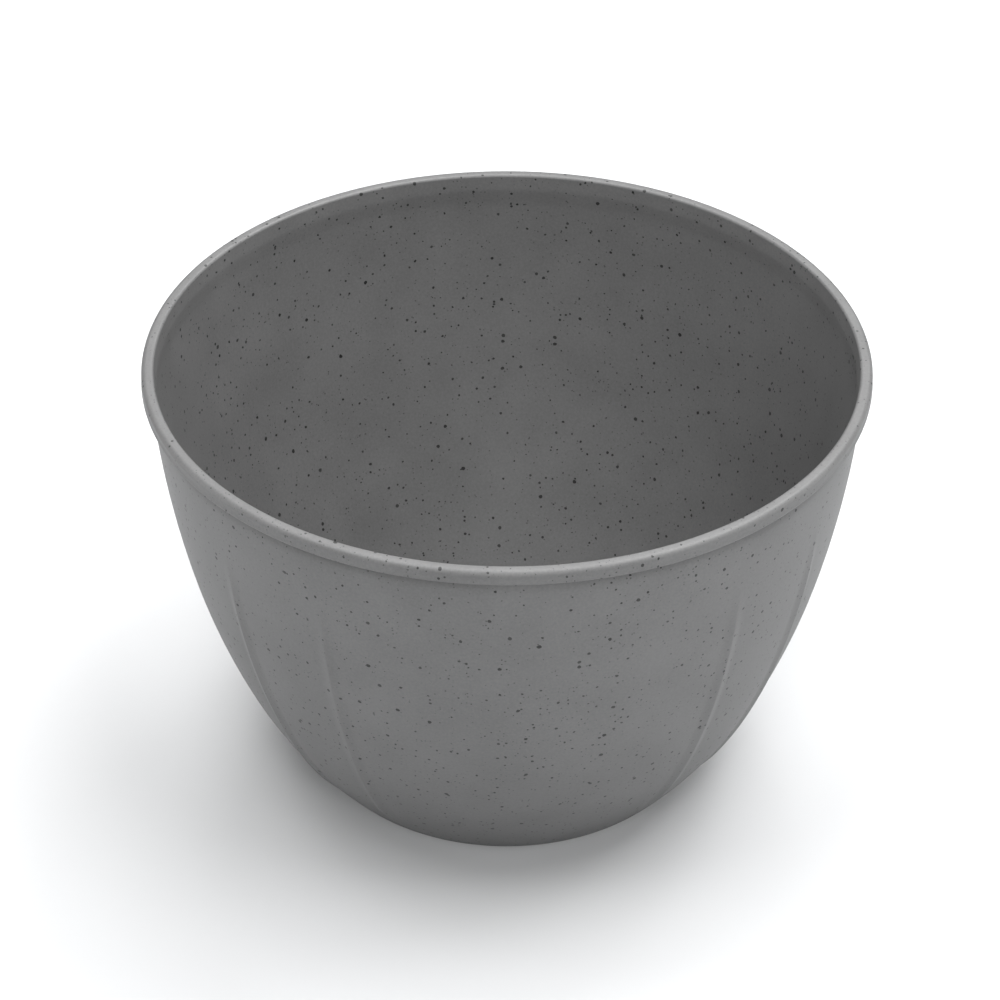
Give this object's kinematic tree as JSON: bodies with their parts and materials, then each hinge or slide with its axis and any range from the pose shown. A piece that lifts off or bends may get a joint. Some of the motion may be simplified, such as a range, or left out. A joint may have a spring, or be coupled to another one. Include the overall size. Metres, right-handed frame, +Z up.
{
  "type": "round bowl",
  "caption": "Deep round speckled bowl in one moulded piece, with a rounded lip, a soft shoulder, a low foot ring and pairs of raised ridges running down the outside.",
  "frame": {"origin": "centre of the circle the foot ring stands on, at the standing surface", "axes": "+Z up along the bowl's axis of symmetry; -Y is the middle of one plain panel between two pairs of ridges, and +X is to the right of it"},
  "size_m": [0.21, 0.21, 0.136],
  "materials": {
    "speckled_plastic": "matte mid-grey moulded plastic with fine dark speckles"
  },
  "bodies": {
    "root": {"bowl": "speckled_plastic"}
  },
  "joints": []
}
